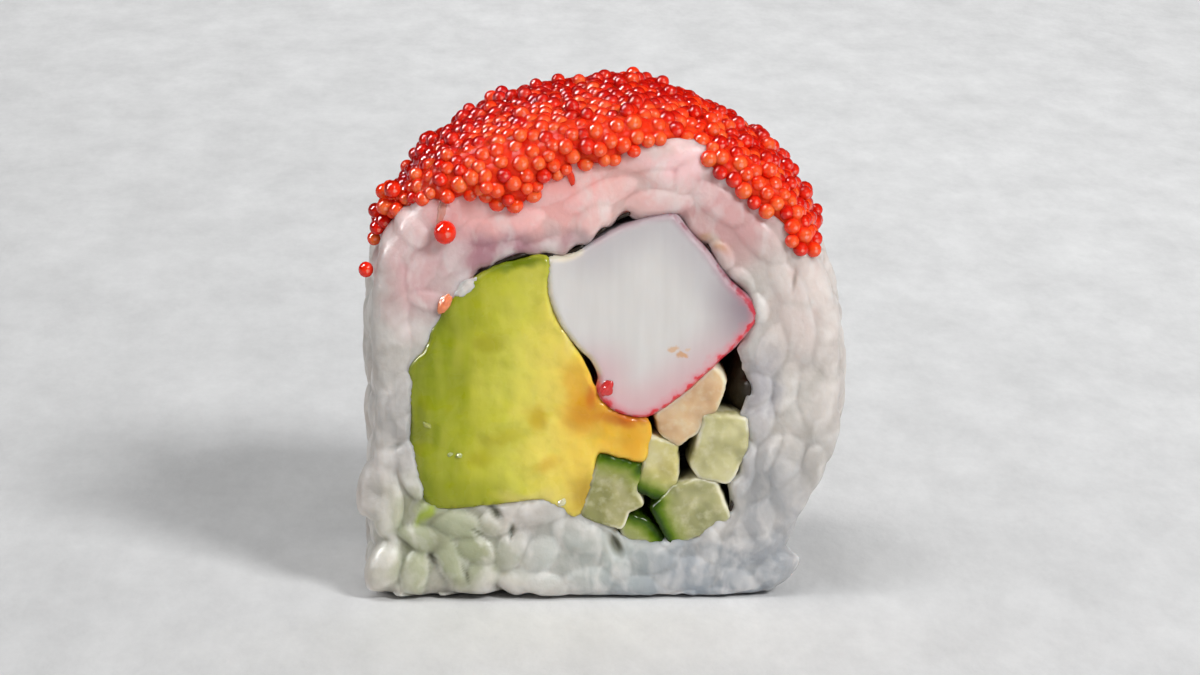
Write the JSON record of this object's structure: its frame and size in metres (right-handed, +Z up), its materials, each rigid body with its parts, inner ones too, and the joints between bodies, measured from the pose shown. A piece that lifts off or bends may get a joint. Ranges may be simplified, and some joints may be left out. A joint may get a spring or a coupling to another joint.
{
  "type": "sushi roll slice",
  "caption": "Slice of inside-out sushi roll: a rice ring capped with orange roe round seaweed, avocado, crab stick and cucumber batons, standing on its flat underside.",
  "frame": {"origin": "on the board under the middle of the slice", "axes": "+Z up; the roll's own axis along Y, with the shown cut face towards -Y; +X to the right of that face"},
  "size_m": [0.0442, 0.0275, 0.0449],
  "materials": {
    "rice": "cooked short-grain rice, translucent white, moist",
    "roe": "flying-fish roe, clear red-orange skins, wet gloss",
    "seaweed": "moist roasted seaweed sheet, near black",
    "avocado": "ripe cut flesh, green at the skin side to golden inside, satin",
    "crab_stick": "pressed white fish, smooth and moist, red dyed skin",
    "cucumber": "cut flesh, pale yellow-green and wet, dark green skin"
  },
  "bodies": {
    "root": {"rice": "rice", "roe": "roe", "roe_pearl_front": "roe", "roe_pearl_side": "roe", "seaweed": "seaweed", "avocado": "avocado", "crab_stick": "crab_stick", "cucumber_core": "cucumber", "cucumber_right": "cucumber", "cucumber_middle": "cucumber", "cucumber_left": "cucumber", "cucumber_lower": "cucumber", "cucumber_bottom": "cucumber"}
  },
  "joints": []
}
